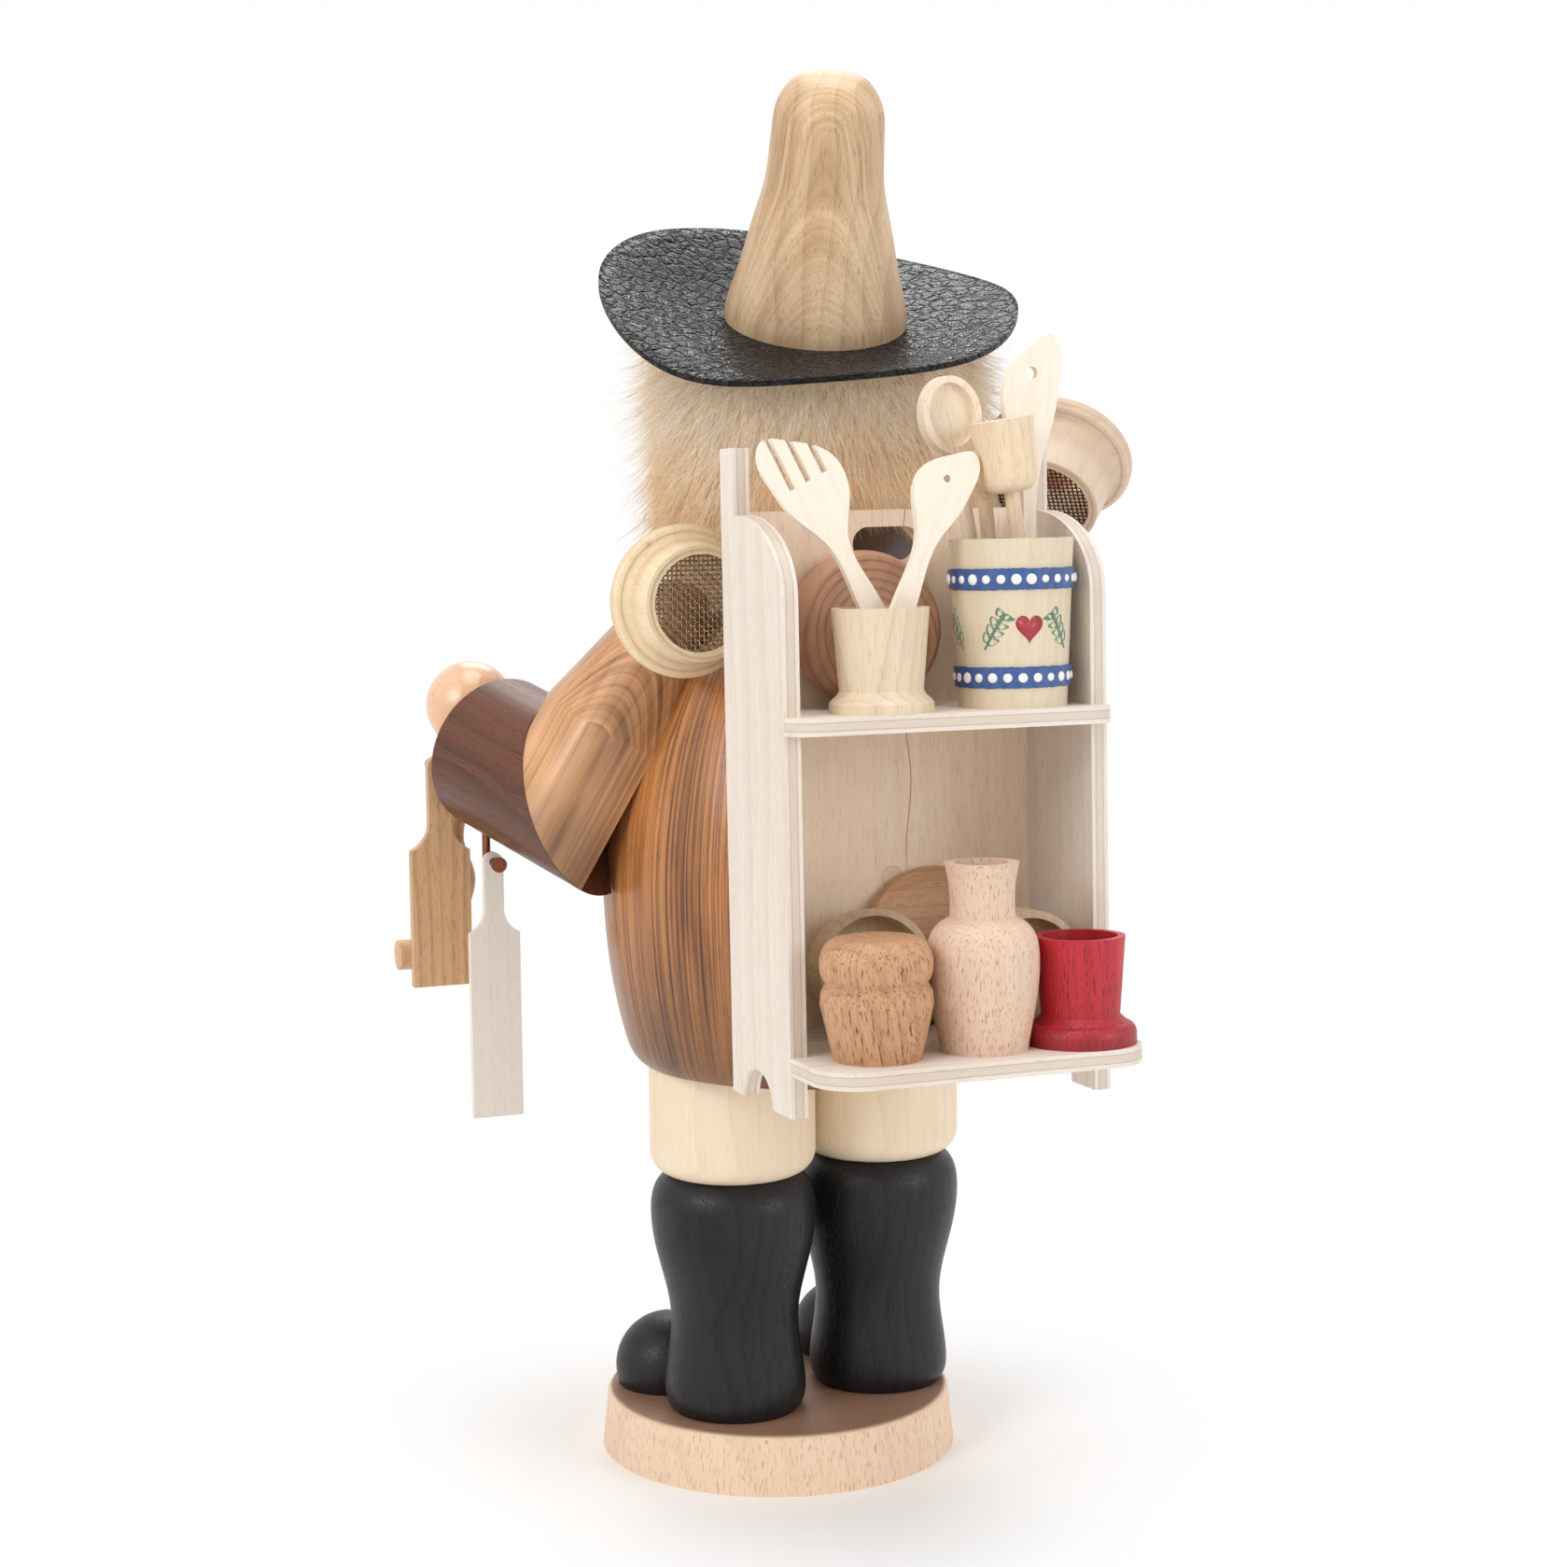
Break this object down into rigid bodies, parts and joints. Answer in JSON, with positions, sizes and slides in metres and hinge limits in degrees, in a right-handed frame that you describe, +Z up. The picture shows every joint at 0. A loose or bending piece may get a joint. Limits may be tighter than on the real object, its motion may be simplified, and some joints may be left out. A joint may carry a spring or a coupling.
{
  "type": "incense smoker figure",
  "caption": "Turned wooden incense smoker figure of a pedlar, with a stained jacket, leather-brimmed hat, fur hair and beard, and a plywood rack of kitchen wares on the back.",
  "frame": {"origin": "middle of the flat underside of the round base", "axes": "+Z up along the figure, -Y is where the figure looks, +X is its left side; the rack is on +Y"},
  "size_m": [0.1322, 0.1416, 0.2652],
  "materials": {
    "beech": "bare turned beech, satin",
    "black_stain": "black stain, satin",
    "pale_lime": "bare turned lime, satin",
    "brass_sheet": "pressed sheet",
    "brown_stain": "brown stain, satin lacquer",
    "dark_stain": "dark brown stain, satin lacquer",
    "skin_wood": "clear lacquered, pale",
    "hand_gloss": "clear lacquered, gloss",
    "cream_fur": "long soft pile",
    "black_leather": "pebbled grain",
    "oak": "open-pored, satin",
    "birch_ply": "bare, sanded",
    "pale_turned": "bare turned maple",
    "wire_mesh": "woven wire",
    "cream_paint": "cream paint with a folk pattern",
    "brown_bowl_wood": "brown stain",
    "jar_wood": "clear lacquered",
    "pink_beech": "bare turned beech",
    "red_stain": "red stain, satin",
    "steel_wire": "plain wire",
    "tan_board": "clear lacquered",
    "white_board": "bare, sanded"
  },
  "bodies": {
    "stand": {"base_plate": "beech", "left_boot": "black_stain", "right_boot": "black_stain", "left_toe": "black_stain", "right_toe": "black_stain", "left_trouser": "pale_lime", "right_trouser": "pale_lime", "leg_dowels": "beech", "hip_plate": "beech", "incense_tray": "brass_sheet", "tray_tack": "brass_sheet"},
    "figure": {"jacket": "brown_stain", "neck_tube": "beech", "head": "skin_wood", "nose": "skin_wood", "hair_fur": "cream_fur", "beard_fur": "cream_fur", "hat_brim": "black_leather", "hat_crown": "oak", "hat_dowel": "beech", "left_upper_arm": "brown_stain", "right_upper_arm": "brown_stain", "left_forearm": "dark_stain", "right_forearm": "dark_stain", "left_hand": "hand_gloss", "right_hand": "hand_gloss", "shoulder_dowels": "beech", "elbow_dowels": "beech", "wrist_dowels": "beech", "left_sieve_ring": "pale_turned", "right_sieve_ring": "pale_turned", "left_sieve_mesh": "wire_mesh", "right_sieve_mesh": "wire_mesh", "sieve_pegs": "beech", "rack_left_panel": "birch_ply", "rack_right_panel": "birch_ply", "rack_back_board": "birch_ply", "rack_upper_shelf": "birch_ply", "rack_lower_shelf": "birch_ply", "rack_pegs": "beech", "egg_cup": "pale_turned", "painted_pot": "cream_paint", "brown_bowl": "brown_bowl_wood", "honey_jar": "jar_wood", "vase": "pink_beech", "red_cup": "red_stain", "round_plate": "pink_beech", "left_box": "pale_turned", "right_box": "pale_turned", "fork_spatula": "pale_turned", "small_spatula": "pale_turned", "turner": "pale_turned", "oval_spoon": "pale_turned", "masher": "pink_beech", "stirring_stick": "pink_beech", "sleeve_nails": "steel_wire", "sleeve_hook": "steel_wire"},
    "paddle": {"paddle_board": "tan_board"},
    "mallet": {"mallet": "tan_board"},
    "cutting_board": {"cutting_board": "white_board"}
  },
  "joints": [
    {"name": "torso_lift", "type": "slide", "parent": "stand", "child": "figure", "axis": [0, 0, 1], "range_m": [0, 0.05]},
    {"name": "paddle_swing", "type": "hinge", "parent": "figure", "child": "paddle", "pos_m": [0.06, -0.0271, 0.135], "axis": [0, 1, 0], "range_deg": [-12, 12]},
    {"name": "mallet_swing", "type": "hinge", "parent": "figure", "child": "mallet", "pos_m": [0.0553, -0.036, 0.129], "axis": [0, 1, 0], "range_deg": [-12, 12]},
    {"name": "cutting_board_swing", "type": "hinge", "parent": "figure", "child": "cutting_board", "pos_m": [0.052, -0.017, 0.117], "axis": [0, 1, 0], "range_deg": [-12, 12]}
  ]
}
